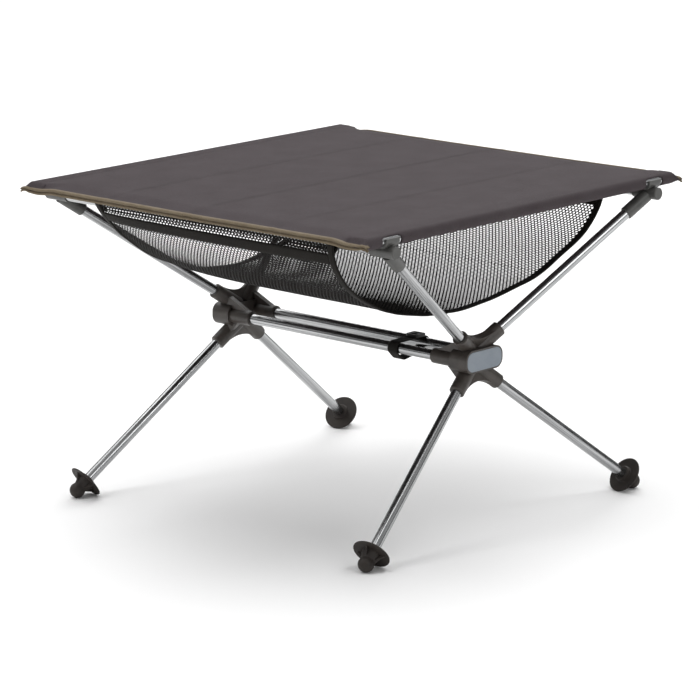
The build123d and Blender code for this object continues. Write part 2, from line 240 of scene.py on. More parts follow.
@dataclass(frozen=True)
class Weave:
    """Coated plain-weave cloth, on a piece whose UV map is its flat cut in metres.

    Past a set distance either side of the middle, over the sleeves where the cloth lies double,
    painted shade makes the colour a little darker.
    """

    name: str
    dark: Colour
    light: Colour
    thread: float = 0.55 * MM
    roughness: float = 0.62
    depth: float = 0.10 * MM
    slub: float = 2.2 * MM
    patch: float = 45 * MM
    painted_sleeve_shade_from: float = math.inf
    painted_sleeve_shade_tone: float = 0.10

    def material(self) -> bpy.types.Material:
        """Build the material.

        Returns:
            A material on the UV map.
        """
        recipe = Recipe(self.name)
        flat = recipe.place("UV")
        warp = recipe.bands(flat, self.thread, "X")
        weft = recipe.bands(flat, self.thread, "Y")
        slub = recipe.cloud(flat, self.slub, 3)
        patch = recipe.cloud(flat, self.patch, 4)
        threads = recipe.math("MAXIMUM", warp, recipe.math("MULTIPLY", weft, 0.9))
        parts = [(slub, 0.75), (patch, 0.55), (threads, 0.18)]
        # Painted shade: past a set distance from the middle, over the sleeves, the colour is pulled
        # darker.
        if self.painted_sleeve_shade_from < math.inf:
            across = recipe.math("ABSOLUTE", recipe.node("SeparateXYZ", {0: flat}).outputs[0])
            painted_sleeve_shade = recipe.math("GREATER_THAN", across, self.painted_sleeve_shade_from)
            parts.append((painted_sleeve_shade, -self.painted_sleeve_shade_tone))
        mixed = recipe.blend(*parts)
        tone = recipe.span(mixed, 0.45, 0.98, 0, 1)
        recipe.set(Base_Color=recipe.mix(tone, self.dark, self.light))
        recipe.rough(slub, self.roughness, 0.06, 0.1)
        recipe.set(Sheen_Weight=0.01, Sheen_Roughness=0.5, Specular_IOR_Level=0.02)
        recipe.relief(recipe.blend((threads, 1.0), (slub, 0.6)), self.depth)
        return recipe.material


@dataclass(frozen=True)
class RibbedTape:
    """Woven tape or webbing with cross ribs, on a UV map in metres."""

    name: str
    dark: Colour
    light: Colour
    rib: float = 1.4 * MM
    roughness: float = 0.7
    depth: float = 0.18 * MM
    fibre: float = 1.6 * MM
    patch: float = 22 * MM

    def material(self) -> bpy.types.Material:
        """Build the material.

        Returns:
            A material on the UV map.
        """
        recipe = Recipe(self.name)
        flat = recipe.place("UV")
        ribs = recipe.bands(flat, self.rib, "X")
        threads = recipe.bands(flat, self.rib * 0.6, "Y")
        fibre = recipe.cloud(flat, self.fibre, 4)
        worn = recipe.cloud(flat, self.patch, 3)
        height = recipe.blend((ribs, 1.0), (threads, 0.5))
        mixed = recipe.blend((height, 0.3), (fibre, 0.5), (worn, 0.35))
        tone = recipe.span(mixed, 0.35, 0.95, 0, 1)
        recipe.set(Base_Color=recipe.mix(tone, self.dark, self.light))
        recipe.rough(fibre, self.roughness, 0.08, 0.08)
        recipe.set(Sheen_Weight=0.02, Sheen_Roughness=0.45, Specular_IOR_Level=0.12)
        recipe.relief(recipe.math("ADD", height, fibre), self.depth)
        return recipe.material


HUB = Moulding("hub_nylon", (0.037, 0.031, 0.027), (0.066, 0.056, 0.048), 0.42)
CLIP = Moulding("clip_nylon", (0.052, 0.052, 0.049), (0.080, 0.079, 0.074), 0.40)
CAP = Moulding("cap_nylon", (0.022, 0.021, 0.021), (0.036, 0.034, 0.034), 0.5)
BUCKLE = Moulding("buckle_nylon", (0.012, 0.012, 0.012), (0.024, 0.023, 0.022), 0.36)
RUBBER = Moulding(
    "grip_rubber", (0.019, 0.015, 0.013), (0.038, 0.031, 0.026), 0.55, gloss=0.3, depth=0.09 * MM
)
BADGE = Moulding(
    "badge_lacquer", (0.175, 0.205, 0.240), (0.235, 0.268, 0.305), 0.36, patch=30 * MM
)
# The cloth's colour is painted darker as shade over the sleeves, past 0.260 m from the middle.
CLOTH = Weave("top_cloth", (0.056, 0.046, 0.049), (0.078, 0.067, 0.071), painted_sleeve_shade_from=0.260)
THREAD = Weave("sewing_thread", (0.055, 0.047, 0.048), (0.110, 0.098, 0.098), thread=0.3 * MM)
TAN_TAPE = RibbedTape("tan_binding", (0.095, 0.072, 0.044), (0.255, 0.207, 0.145))
BLACK_TAPE = RibbedTape("black_tape", (0.007, 0.006, 0.005), (0.022, 0.020, 0.017))
NET = RibbedTape("net_yarn", (0.005, 0.0045, 0.004), (0.017, 0.015, 0.013), rib=0.9 * MM)
ELASTIC = RibbedTape("elastic_braid", (0.03, 0.03, 0.03), (0.12, 0.12, 0.12), rib=0.8 * MM)
MOULDED = {
    "hub_": HUB, "corner_clip": CLIP, "foot_": RUBBER, "badge_": BADGE, "strap_buckle": BUCKLE,
}


# ---------------------------------------------------------------- mesh helpers


def coat(piece: bpy.types.Object, material: bpy.types.Material) -> None:
    """Give a piece one material in place of those it has."""
    piece.data.materials.clear()
    piece.data.materials.append(material)


def finished(
    name: str, bm: bmesh.types.BMesh, material: bpy.types.Material, body: str
) -> bpy.types.Object:
    """Turn a bmesh into a piece that rides on a body.

    Args:
        name: The piece's name.
        bm: The bmesh, which is freed.
        material: The piece's material.
        body: The body it moves with.

    Returns:
        The new object.
    """
    mesh = bpy.data.meshes.new(name)
    for face in bm.faces:
        face.smooth = True
    bm.to_mesh(mesh)
    bm.free()
    piece = bpy.data.objects.new(name, mesh)
    bpy.context.scene.collection.objects.link(piece)
    coat(piece, material)
    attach(piece, body)
    log.info("%s: %d faces on %s", name, len(mesh.polygons), body)
    return piece


def thicken(piece: bpy.types.Object, thickness: float) -> None:
    """Give a sheet its thickness with a Solidify modifier, half of it to each side."""
    solid = piece.modifiers.new("thickness", "SOLIDIFY")
    solid.thickness = thickness
    solid.offset = 0.0


def cells(columns: int, rows: int) -> bmesh.types.BMesh:
    """Make a flat grid whose vertices stand at their own index pairs."""
    bm = bmesh.new()
    bmesh.ops.create_grid(bm, x_segments=columns, y_segments=rows, size=0.5)
    widen = Matrix.Diagonal((columns, rows, 1, 1)) @ Matrix.Translation((0.5, 0.5, 0))
    bmesh.ops.transform(bm, matrix=widen, verts=bm.verts)
    return bm


def cloth_grid(
    columns: int,
    rows: int,
    place: Callable[[float, float], Point],
    flat: Callable[[float, float], tuple[float, float]],
) -> bmesh.types.BMesh:
    """Lay a grid of cells over a surface.

    Args:
        columns: Cells along the first index.
        rows: Cells along the second index.
        place: From a cell index pair to a point of the surface.
        flat: From a cell index pair to the flat cut, for the UV map.

    Returns:
        A bmesh with a UV map in metres.
    """
    bm = cells(columns, rows)
    cut = bm.loops.layers.uv.new("flat_cut")
    for face in bm.faces:
        for loop in face.loops:
            loop[cut].uv = flat(loop.vert.co.x, loop.vert.co.y)
    for vert in bm.verts:
        vert.co = place(vert.co.x, vert.co.y)
    return bm


def smooth(value: float, low: float, high: float) -> float:
    """Rise smoothly from 0 at a low value to 1 at a high one."""
    share = max(0.0, min(1.0, (value - low) / (high - low)))
    return share * share * (3 - 2 * share)


def stations(*runs: tuple[float, float, int]) -> np.ndarray:
    """Join evenly divided runs of (start, end, steps) into one row of places."""
    rows = [np.linspace(start, end, steps, endpoint=False) for start, end, steps in runs]
    return np.concatenate([*rows, [runs[-1][1]]])


class Route:
    """A line in a plane, measured by the distance along it."""

    def __init__(self, points: list[tuple[float, float]]) -> None:
        """Measure a line.

        Args:
            points: The line's points, close together where it bends.
        """
        self.points = np.array(points, float)
        steps = np.linalg.norm(np.diff(self.points, axis=0), axis=1)
        self.along = np.concatenate([[0.0], np.cumsum(steps)])
        self.length = float(self.along[-1])

    def at(self, distance: float) -> tuple[float, float]:
        """Return the point at a distance along the line."""
        return (
            float(np.interp(distance, self.along, self.points[:, 0])),
            float(np.interp(distance, self.along, self.points[:, 1])),
        )

    def aside(self, distance: float, out: float) -> tuple[float, float]:
        """Return the point at a distance along, moved aside to the line's left."""
        step = 0.5 * MM
        a, b = np.array(self.at(distance - step)), np.array(self.at(distance + step))
        run = (b - a) / max(float(np.linalg.norm(b - a)), 1e-9)
        y, z = self.at(distance)
        return y - run[1] * out, z + run[0] * out


def tube_line(node: str) -> tuple[Vector, Vector]:
    """Find the two ends of a long CAD node's axis.

    Args:
        node: The node's name.

    Returns:
        The middle of each end, the lower first along the node's own axis.
    """
    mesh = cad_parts[node].data
    points = np.array([v.co for v in mesh.vertices], float)
    middle = points.mean(axis=0)
    axis = np.linalg.svd(points - middle, full_matrices=False)[2][0]
    reach = (points - middle) @ axis
    return Vector(middle + axis * reach.min()), Vector(middle + axis * reach.max())


def stitch_row(
    bm: bmesh.types.BMesh, start: Vector, end: Vector, pitch: float, radius: float
) -> None:
    """Add a straight row of stitches to a bmesh.

    Args:
        bm: The bmesh that takes them.
        start: Where the row starts.
        end: Where it ends.
        pitch: From one stitch to the next.
        radius: Half a stitch's width.
    """
    run = end - start
    count = max(1, int(run.length / pitch))
    turn = Vector((1, 0, 0)).rotation_difference(run).to_matrix().to_4x4()
    half_long, half_high = 0.36 * pitch, 0.7 * radius
    shape = Matrix.Diagonal((half_long, radius, half_high, 1))
    for k in range(count):
        middle = Matrix.Translation(start + run * ((k + 0.5) / count))
        bmesh.ops.create_icosphere(bm, subdivisions=1, radius=1, matrix=middle @ turn @ shape)


# ---------------------------------------------------------------- the cloth top


BINDING_PROFILE = (  # the tape's cross-section in mm, as (out from the edge, up)
    (-4.0, 0.70), (-0.6, 0.85), (0.9, 0.50), (1.6, -0.4), (1.3, -1.4), (-0.5, -2.0), (-0.8, -3.0),
    (-0.2, -3.8), (1.2, -4.2), (1.6, -5.0), (1.0, -5.9), (-0.3, -6.2), (-1.2, -5.5), (-1.7, -2.6),
)


@dataclass
class ClothTop:
    """The stretched cloth, with a sleeve down each side and a tape on each free edge."""

    cloth: float = 0.8 * MM
    play: float = 0.1 * MM
    stitch_in: float = 18 * MM
    flap: float = 6 * MM
    window_half: float = 16 * MM
    window_side: float = 17 * MM
    window_drop: float = 1.9 * MM
    window_round: float = 5 * MM
    window_curve: float = 12 * MM
    shoulder: float = 48 * MM
    tip_flat: float = 0.86
    tip_gap: float = 1.3 * MM
    tip_drop: float = 1.2 * MM
    edge_drop: float = 4.0 * MM
    edge_reach: float = 32 * MM
    seams: tuple[float, ...] = (-0.50, 0.0, 0.50)
    seam_half: float = 4.5 * MM
    seam_rise: float = 0.28 * MM
    groove: float = 0.55 * MM
    groove_half: float = 1.6 * MM
    sag: float = 1.2 * MM
    middle_sag: float = 0.55
    unevenness: float = 0.35 * MM
    row_half: float = 3 * MM
    row_short: float = 3 * MM
    stitch_pitch: float = 3.3 * MM
    stitch_r: float = 0.28 * MM
    stitch_lift: float = 0.05 * MM
    stitch_runs: int = 24
    tape_thick: float = 0.7 * MM
    tape_cells: tuple[int, int] = (160, 30)
    tape_wave: float = 0.35 * MM
    tape_wave_full: float = 4 * MM
    tip_narrow: float = 0.3

    def __post_init__(self) -> None:
        """Take the poles and the clips from the frame."""
        low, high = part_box("side_pole_right")
        self.pole = Vector(((low.x + high.x) / 2, 0, (low.z + high.z) / 2))
        self.pole_r = (high.x - low.x) / 2
        self.cap_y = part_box("pole_caps")[1].y
        self.half_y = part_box("fabric_top")[1].y
        self.clip_y = (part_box("cross_pole_back")[0].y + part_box("cross_pole_back")[1].y) / 2
        self.sleeve_r = self.pole_r + self.play + self.cloth / 2
        self.top_z = self.pole.z + self.sleeve_r
        self.under = 1.25 * self.cloth
        self.section = self.half_section()
        self.half_flat = self.pole.x + self.section.length
        self.fold = (self.section.length - self.flap - self.stitch_in) / 2

    def half_section(self) -> Route:
        """Draw the sleeve from the pole's crown, round it, and back to its stitching.

        Returns:
            The line in X and Z, starting at the crown of the right pole.
        """
        reach = math.hypot(self.stitch_in, self.sleeve_r - self.under)
        bearing = math.pi - math.atan2(self.sleeve_r - self.under, self.stitch_in)
        leave = bearing + math.acos(self.sleeve_r / reach) - 2 * math.pi
        turns = np.linspace(math.pi / 2, leave, 40)
        points = [
            (self.pole.x + self.sleeve_r * math.cos(a), self.pole.z + self.sleeve_r * math.sin(a))
            for a in turns
        ]
        points.append((self.pole.x - self.stitch_in, self.top_z - self.under))
        points.append((self.pole.x - self.stitch_in - self.flap, self.top_z - self.under))
        return Route(points)

    def waver(self, x: float, y: float) -> float:
        """Return how far the stretched cloth lies above or below its mean plane."""
        across = x / self.pole.x
        edge = max(0.0, 1 - across * across)
        lengthwise = self.middle_sag + (1 - self.middle_sag) * (y / self.half_y) ** 2
        rise = -self.sag * edge * lengthwise
        rise += self.unevenness * edge * noise.noise(Vector((x * 9, y * 5, 0.3)))
        for seam in self.seams:
            away = abs(x - seam * self.pole.x)
            if away < self.seam_half * 2:
                rise += self.seam_rise * math.exp(-((away / self.seam_half) ** 4))
        stitch = abs(abs(x) - (self.pole.x - self.stitch_in))
        rise -= self.groove * math.exp(-((stitch / self.groove_half) ** 2))
        return rise

    def surface(self, s: float, y: float) -> Point:
        """Place a point of the flat cut.

        Args:
            s: The distance from the middle across the cloth, signed.
            y: The place along the side poles.

        Returns:
            The point of the stretched cloth.
        """
        side, away = (1 if s >= 0 else -1), abs(s)
        near = smooth(away, self.pole.x - self.shoulder, self.pole.x - self.stitch_in)
        start = self.half_y - self.edge_reach + near * (self.cap_y - self.half_y + self.edge_reach)
        past = smooth(abs(y), start, self.half_y)
        tip_z = self.pole.z - self.tip_drop
        if away <= self.pole.x:
            level = self.top_z + self.waver(s, y) - self.edge_drop * past
            return s, y, level + near * past * (tip_z + self.tip_gap - level)
        round_x, round_z = self.section.at(away - self.pole.x)
        beyond = away - self.pole.x - self.fold
        flat_x = self.pole.x + self.fold - abs(beyond)
        flat_z = tip_z - self.tip_gap * math.tanh(beyond / (2 * MM))
        keep = 1 - self.tip_flat * past
        x, z = flat_x + (round_x - flat_x) * keep, flat_z + (round_z - flat_z) * keep
        return side * x, y, z

    def rows(self) -> np.ndarray:
        """Return the places along Y, with rows on the windows' edges."""
        near, far = self.clip_y - self.window_half, self.clip_y + self.window_half
        return stations(
            (-self.half_y, -self.cap_y, 5), (-self.cap_y, -far, 6), (-far, -near, 12),
            (-near, near, 96), (near, far, 12), (far, self.cap_y, 6), (self.cap_y, self.half_y, 5),
        )

    def columns(self) -> np.ndarray:
        """Return the distances across the cloth, with close columns round the poles."""
        crown, stitch = self.pole.x, self.pole.x - self.stitch_in
        return stations(
            (-self.half_flat, -crown, 30), (-crown, -stitch, 8), (-stitch, stitch, 110),
            (stitch, crown, 8), (crown, self.half_flat, 30),
        )

    def in_window(self, middle: Vector) -> bool:
        """Tell whether a place on a sleeve is in the opening over a corner clip."""
        away_y = abs(abs(middle.y) - self.clip_y)
        away_x = abs(abs(middle.x) - self.pole.x)
        top = self.top_z - self.window_drop
        past = max(0.0, away_y - self.window_half + self.window_round)
        low = middle.z < top - past**2 / self.window_curve
        return away_y < self.window_half and away_x < self.window_side and low

    def build(self) -> None:
        """Make the cloth, which stands for the frame's plain sheet."""
        across, along = self.columns(), self.rows()
        bm = cloth_grid(
            len(across) - 1, len(along) - 1,
            lambda i, j: self.surface(across[round(i)], along[round(j)]),
            lambda i, j: (across[round(i)], along[round(j)]),
        )
        opened = [face for face in bm.faces if self.in_window(face.calc_center_median())]
        bmesh.ops.delete(bm, geom=opened, context="FACES")
        piece = finished("cloth_top", bm, CLOTH.material(), "top")
        thicken(piece, self.cloth)
        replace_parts(piece, "fabric_top")

    def stitching(self) -> None:
        """Make the rows of stitches down the sleeves and the seams."""
        bm = bmesh.new()
        lift = Vector((0, 0, self.cloth / 2 + self.stitch_lift))
        end = self.half_y - self.row_short
        marks = np.linspace(-end, end, self.stitch_runs + 1)
        lines = [side.value * (self.pole.x - self.stitch_in) for side in Side]
        for seam in self.seams:
            lines += [seam * self.pole.x - self.row_half, seam * self.pole.x + self.row_half]
        for x in lines:
            places = [Vector(self.surface(x, float(y))) + lift for y in marks]
            for start, stop in zip(places, places[1:]):
                stitch_row(bm, start, stop, self.stitch_pitch, self.stitch_r)
        finished("top_stitching", bm, THREAD.material(), "top")

    def binding(self, side: Side) -> None:
        """Make the ribbed tape that wraps one free edge and stands for the frame's plain bar.

        Args:
            side: The front or the back edge.
        """
        columns, rows = self.tape_cells
        profile = Route([(out * MM, up * MM) for out, up in BINDING_PROFILE])
        half_s = self.pole.x + self.fold
        across = np.linspace(0, profile.length, rows + 1)
        along = np.linspace(-half_s, half_s, columns + 1)

        def place(i: float, j: float) -> Point:
            """Place a point of the tape."""
            s = along[round(i)]
            x, edge_y, level = self.surface(s, side.value * self.half_y)
            out, up = profile.at(across[round(j)])
            wave = self.tape_wave * noise.noise(Vector((x * 40, side.value, 2.0)))
            up -= wave * min(1.0, -up / self.tape_wave_full)
            tip = smooth(abs(s), self.pole.x - self.stitch_in, half_s)
            return x, edge_y + side.value * out, level + up * (1 - self.tip_narrow * tip)

        bm = cloth_grid(columns, rows, place, lambda i, j: (along[round(i)], across[round(j)]))
        end = "front" if side is Side.LOW else "back"
        piece = finished(f"edge_binding_{end}", bm, TAN_TAPE.material(), "top")
        thicken(piece, self.tape_thick)
        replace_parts(piece, f"binding_{end}")


# ---------------------------------------------------------------- the net shelf


@dataclass
class NetShelf:
    """The open net that hangs from both cross poles."""

    yarn: float = 0.5 * MM
    yarn_half: float = 0.90 * MM
    cross_yarn: float = 0.66
    cell: float = 5.4 * MM
    row: float = 3.5 * MM
    zigzag: float = 0.95 * MM
    smallest_hole: float = 1.5e-6
    band_from: float = 14 * MM
    band_wide: float = 12 * MM
    band_lap: float = 1.0 * MM
    band_out: float = -0.5 * MM
    band_thick: float = 1.4 * MM
    hem_r_play: float = 0.9 * MM
    tuck_below: float = 11.5 * MM
    tuck_in: float = 1.0 * MM
    tape_out: float = -0.3 * MM
    tape_thick: float = 2.0 * MM
    tape_wide: float = 8.5 * MM
    tape_lap: float = 1.0 * MM
    sag_forward: float = 0.11
    sag_extra: float = 1.5 * MM
    pulled_up: float = 0.6
    pull_reach: float = 60 * MM
    ripple: float = 1.3 * MM
    ripple_reach: float = 45 * MM
    stretches: int = 4
    route_step: float = 0.2 * MM
    route_points: int = 200
    wrap_points: int = 16
    strip_cell: tuple[float, float] = (4 * MM, 3 * MM)

    def __post_init__(self) -> None:
        """Take the poles and the shelf's size from the frame."""
        low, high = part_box("cross_pole_back")
        self.pole_y, self.pole_z = (low.y + high.y) / 2, (low.z + high.z) / 2
        self.hem_r = (high.z - low.z) / 2 + self.hem_r_play
        self.end_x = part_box("basket_tape_right")[1].x
        self.net_x = self.end_x - self.tape_wide + self.tape_lap
        self.drop = self.pole_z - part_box("mesh_basket")[0].z + self.sag_extra - self.yarn
        self.routes: dict[int, Route] = {}
        self.length = self.route(0.0).length
        self.hem = math.pi * self.hem_r + math.dist(*self.route(0.0).points[:2])

    def hang(self, x: float, turn: float) -> tuple[float, float]:
        """Place a point of the hanging net.

        Args:
            x: The place along the poles. The net is pulled up flatter at its left end.
            turn: From 0 at the front pole to pi at the back one.

        Returns:
            The point in Y and Z.
        """
        power = 1 + self.pulled_up * math.exp(-(x + self.net_x) / self.pull_reach)
        depth = self.drop * (1 + self.sag_forward * math.cos(turn)) * math.sin(turn) ** power
        return -(self.pole_y + self.hem_r) * math.cos(turn), self.pole_z - depth

    def route(self, x: float) -> Route:
        """Draw the net's line from its front stitching over both poles to the back one.

        Args:
            x: The place along the poles.

        Returns:
            The line in Y and Z, from the front to the back.
        """
        key = round(x / self.route_step)
        if key not in self.routes:
            turns = np.linspace(0, math.pi, self.route_points)[1:-1]
            line = [self.hang(x, float(turn)) for turn in turns]
            tuck_z = self.pole_z - self.tuck_below
            front_y = next(y for y, z in line if z < tuck_z)
            back_y = next(y for y, z in reversed(line) if z < tuck_z)
            wraps = [
                [
                    (
                        side.value * (self.pole_y - self.hem_r * math.cos(a)),
                        self.pole_z + self.hem_r * math.sin(a),
                    )
                    for a in np.linspace(0, math.pi, self.wrap_points)
                ]
                for side in Side
            ]
            front = [(front_y + self.tuck_in, tuck_z), *wraps[0]]
            back = [*reversed(wraps[1]), (back_y - self.tuck_in, tuck_z)]
            self.routes[key] = Route([*front, *line, *back])
        return self.routes[key]

    def point(self, x: float, s: float, out: float = 0.0) -> Point:
        """Place a point of the net or of a tape on it.

        Args:
            x: The place along the poles.
            s: The distance along the middle line of the net.
            out: How far the point stands out from the net.

        Returns:
            The point, with the loose ends' small ripples.
        """
        route = self.route(x)
        share = min(s, self.length - s) / self.length
        loose = math.exp(-(self.end_x - abs(x)) / self.ripple_reach) * smooth(share, 0.11, 0.2)
        out += 2 * self.ripple * loose * noise.noise(Vector((x * 6, s * 17, 4.0)))
        y, z = route.aside(s / self.length * route.length, out)
        return x, y, z

    def strip(
        self,
        name: str,
        x_ends: tuple[float, float],
        s_ends: tuple[float, float],
        out: float,
        thick: float,
    ) -> bpy.types.Object:
        """Make a closed strip of tape that follows the net.

        Args:
            name: The piece's name.
            x_ends: Its two edges along X.
            s_ends: Where it starts and ends along the net's line.
            out: How far it stands out from the net.
            thick: Its thickness.

        Returns:
            The strip's object.
        """
        columns = max(3, int((x_ends[1] - x_ends[0]) / self.strip_cell[0]))
        rows = max(4, int((s_ends[1] - s_ends[0]) / self.strip_cell[1]))
        across, along = np.linspace(*x_ends, columns + 1), np.linspace(*s_ends, rows + 1)
        bm = cloth_grid(
            columns, rows,
            lambda i, j: self.point(across[round(i)], along[round(j)], out),
            lambda i, j: (along[round(j)], across[round(i)]),
        )
        piece = finished(name, bm, BLACK_TAPE.material(), "frame")
        thicken(piece, thick)
        return piece

    def lattice(self, length: float) -> bmesh.types.BMesh:
        """Lay rows of six-sided holes flat, each row half a cell aside from the last.

        Args:
            length: The stretch's length along the net's line.

        Returns:
            A flat bmesh with a UV map in metres, from corner (-net_x, 0).
        """
        columns, rows = 2 * round(2 * self.net_x / self.cell), round(length / self.row)
        bm = cells(columns, rows)
        spare = []
        for edge in bm.edges:
            a, b = (vert.co for vert in edge.verts)
            i, j = round(a.x), int(min(a.y, b.y) + 0.5)
            if round(b.x) == i and 0 < i < columns and (i + j) % 2:
                spare.append(edge)
        for vert in bm.verts:
            i, j = round(vert.co.x), round(vert.co.y)
            lean = self.zigzag * (1 - 2 * ((i + j) % 2)) if 0 < j < rows else 0.0
            vert.co.x = -self.net_x + 2 * self.net_x * i / columns
            vert.co.y = (length * j / rows + lean) / self.cross_yarn
        bmesh.ops.dissolve_edges(bm, edges=spare)
        inset = bmesh.ops.inset_individual(
            bm, faces=bm.faces[:], thickness=self.yarn_half, use_even_offset=True
        )
        thin = Matrix.Diagonal((1, self.cross_yarn, 1, 1))
        bmesh.ops.transform(bm, matrix=thin, verts=bm.verts)
        rims = set(inset["faces"])
        holes = [f for f in bm.faces if f not in rims and f.calc_area() > self.smallest_hole]
        bmesh.ops.delete(bm, geom=holes, context="FACES")
        cut = bm.loops.layers.uv.new("flat_cut")
        for face in bm.faces:
            for loop in face.loops:
                loop[cut].uv = loop.vert.co.xy
        return bm

    def net(self, name: str, s_from: float, s_to: float) -> bpy.types.Object:
        """Make one stretch of open net.

        Args:
            name: The piece's name.
            s_from: Where it starts along the net's line.
            s_to: Where it ends.

        Returns:
            The net's object.
        """
        bm = self.lattice(s_to - s_from)
        yarn_area = sum(face.calc_area() for face in bm.faces)
        for vert in bm.verts:
            vert.co = self.point(vert.co.x, s_from + vert.co.y)
        piece = finished(name, bm, NET.material(), "frame")
        thicken(piece, self.yarn)
        return piece

    def build(self) -> None:
        """Make the whole shelf: nets, seam bands and end tapes."""
        low, high = self.hem + self.band_from, self.hem + self.band_from + self.band_wide
        far_low, far_high = self.length - high, self.length - low
        self.net("net_hem_front", 0.0, low)
        marks = np.linspace(high, far_low, self.stretches + 1)
        pieces = [
            self.net(f"net_stretch_{k + 1}", float(marks[k]), float(marks[k + 1]))
            for k in range(self.stretches)
        ]
        self.net("net_hem_back", far_high, self.length)
        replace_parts(pieces[0], "mesh_basket")
        full, lap = (-self.net_x, self.net_x), self.band_lap
        for end, a, b in (("front", low, high), ("back", far_low, far_high)):
            s_ends = (a - lap, b + lap)
            self.strip(f"seam_band_{end}", full, s_ends, self.band_out, self.band_thick)
        for side, name in ((Side.LOW, "left"), (Side.HIGH, "right")):
            ends = sorted((side.value * (self.net_x - self.tape_lap), side.value * self.end_x))
            s_ends, thick = (0.0, self.length), self.tape_thick
            tape = self.strip(f"end_tape_{name}", tuple(ends), s_ends, self.tape_out, thick)
            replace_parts(tape, f"basket_tape_{name}")


# ---------------------------------------------------------------- strap, cords and hard parts


@dataclass
class KeeperStrap:
    """The webbing loop that holds both crossbars together."""

    thick: float = 1.5 * MM
    droop_in: float = 6.5 * MM
    grid: tuple[int, int] = (8, 96)
    weld: float = 0.02 * MM

    def __post_init__(self) -> None:
        """Take the crossbars and the plain strap's place from the frame."""
        low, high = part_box("strap_band")
        self.x = (low.x + high.x) / 2
        self.width = high.x - low.x
        bar_low, bar_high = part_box("crossbar_back")
        self.bar_y, self.bar_z = (bar_low.y + bar_high.y) / 2, (bar_low.z + bar_high.z) / 2
        self.wrap_r = high.z - self.bar_z - self.thick / 2
        self.droop = self.bar_z - self.wrap_r - self.thick / 2 - low.z

    def loop(self) -> Route:
        """Draw the loop round both bars with its slack under the front one.

        Returns:
            The closed line in Y and Z.
        """
        rounds = [
            (-self.bar_y, self.bar_z), (self.bar_y, self.bar_z),
            (-self.bar_y + self.droop_in, self.bar_z - self.droop),
        ]
        points = []
        for a in np.linspace(math.pi / 2, 2.5 * math.pi, 121):
            reach = (math.cos(a), math.sin(a))
            y, z = max(rounds, key=lambda c: c[0] * reach[0] + c[1] * reach[1])
            points.append((y + self.wrap_r * reach[0], z + self.wrap_r * reach[1]))
        return Route(points)

    def build(self) -> None:
        """Make the webbing, which stands for the frame's plain loop."""
        route = self.loop()
        columns, rows = self.grid
        across = np.linspace(-self.width / 2, self.width / 2, columns + 1)
        along = np.linspace(0, route.length, rows + 1)

        def place(i: float, j: float) -> Point:
            """Place a point of the webbing."""
            y, z = route.at(along[round(j)])
            return self.x + across[round(i)], y, z

        bm = cloth_grid(columns, rows, place, lambda i, j: (along[round(j)], across[round(i)]))
        bmesh.ops.remove_doubles(bm, verts=bm.verts[:], dist=self.weld)
        piece = finished("strap_webbing", bm, BLACK_TAPE.material(), "strap")
        thicken(piece, self.thick)
        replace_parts(piece, "strap_band")


@dataclass
class ShockCords:
    """The elastic cords that run inside the arms and the legs."""

    radius: float = 1.6 * MM
    knot: float = 3.6 * MM
    knot_in: float = 12 * MM

    def cord(self, bm: bmesh.types.BMesh, tube: str, centre: Vector) -> None:
        """Add one cord and its two knots inside a tube.

        Args:
            bm: The bmesh that takes it.
            tube: The tube's node.
            centre: The table's middle, to tell the tube's inner end.
        """
        ends = sorted(tube_line(tube), key=lambda p: (p - centre).length)
        run = ends[1] - ends[0]
        turn = Vector((0, 0, 1)).rotation_difference(run).to_matrix().to_4x4()
        length = run.length - self.knot
        middle = Matrix.Translation(ends[0] + run.normalized() * (length / 2)) @ turn
        bmesh.ops.create_cone(
            bm, cap_ends=True, segments=16, radius1=self.radius, radius2=self.radius,
            depth=length, matrix=middle, calc_uvs=True,
        )
        for along in (self.knot_in, length):
            spot = Matrix.Translation(ends[0] + run.normalized() * along) @ turn
            bmesh.ops.create_uvsphere(
                bm, u_segments=14, v_segments=8, radius=self.knot, matrix=spot
            )

    def build(self) -> None:
        """Make every cord."""
        material = ELASTIC.material()
        centre = Vector((0, 0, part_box("crossbar_back")[1].z))
        arms = bmesh.new()
        arms.loops.layers.uv.new("flat_cut")
        for corner in Corner:
            self.cord(arms, f"arm_{corner.value}", centre)
        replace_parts(finished("arm_elastics", arms, material, "frame"), "arm_cords")
        for corner in Corner:
            leg = bmesh.new()
            leg.loops.layers.uv.new("flat_cut")
            self.cord(leg, f"leg_{corner.value}", centre)
            name, body = f"leg_elastic_{corner.value}", f"leg_{corner.value}"
            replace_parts(finished(name, leg, material, body), f"leg_cord_{corner.value}")


@dataclass
class HardParts:
    """The tubes and mouldings, which keep their shape and get their finish here."""

    tube_starts: tuple[str, ...] = ("arm_", "leg_", "crossbar_", "cross_pole_", "side_pole_")

    def finish_of(self, node: str) -> bpy.types.Material | None:
        """Choose a node's finish.

        Args:
            node: The node's name.

        Returns:
            Its material, or None where another piece stands for it.
        """
        if "cord" in node:
            return None
        if "plug" in node or node == "pole_caps":
            return self.shared(CAP)
        if node.startswith(self.tube_starts):
            start, end = tube_line(node)
            return DrawnTube(f"tube_{node}", tuple((end - start).normalized())).material()
        for start, finish in MOULDED.items():
            if node.startswith(start):
                return self.shared(finish)
        return None

    def shared(self, finish: Moulding) -> bpy.types.Material:
        """Return a moulding's material, made once."""
        return bpy.data.materials.get(finish.name) or finish.material()

    def build(self) -> None:
        """Give every shown node its finish."""
        for node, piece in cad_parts.items():
            material = self.finish_of(node)
            if material is not None:
                coat(piece, material)
                log.info("%s: finish %s", node, material.name)


# ---------------------------------------------------------------- studio


